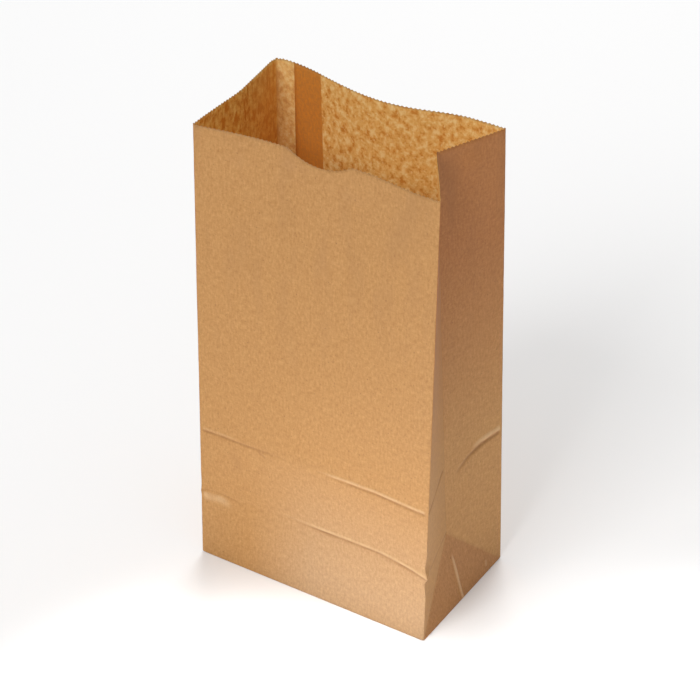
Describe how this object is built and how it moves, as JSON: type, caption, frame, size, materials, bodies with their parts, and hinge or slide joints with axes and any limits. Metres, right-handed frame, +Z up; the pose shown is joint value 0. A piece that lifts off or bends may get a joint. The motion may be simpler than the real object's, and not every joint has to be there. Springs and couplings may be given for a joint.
{
  "type": "paper lunch bag",
  "caption": "Small brown kraft paper bag standing open, with a flat folded base, pleated side gussets, a saw-toothed mouth and a thumb notch.",
  "frame": {"origin": "centre of the base, on the surface the bag stands on", "axes": "+Z up to the mouth; the front panel with the thumb notch faces -Y; X runs along its width"},
  "size_m": [0.1292, 0.0742, 0.24],
  "materials": {
    "kraft_paper": "unbleached, uncoated, matt"
  },
  "bodies": {
    "root": {"paper_bag": "kraft_paper"}
  },
  "joints": []
}
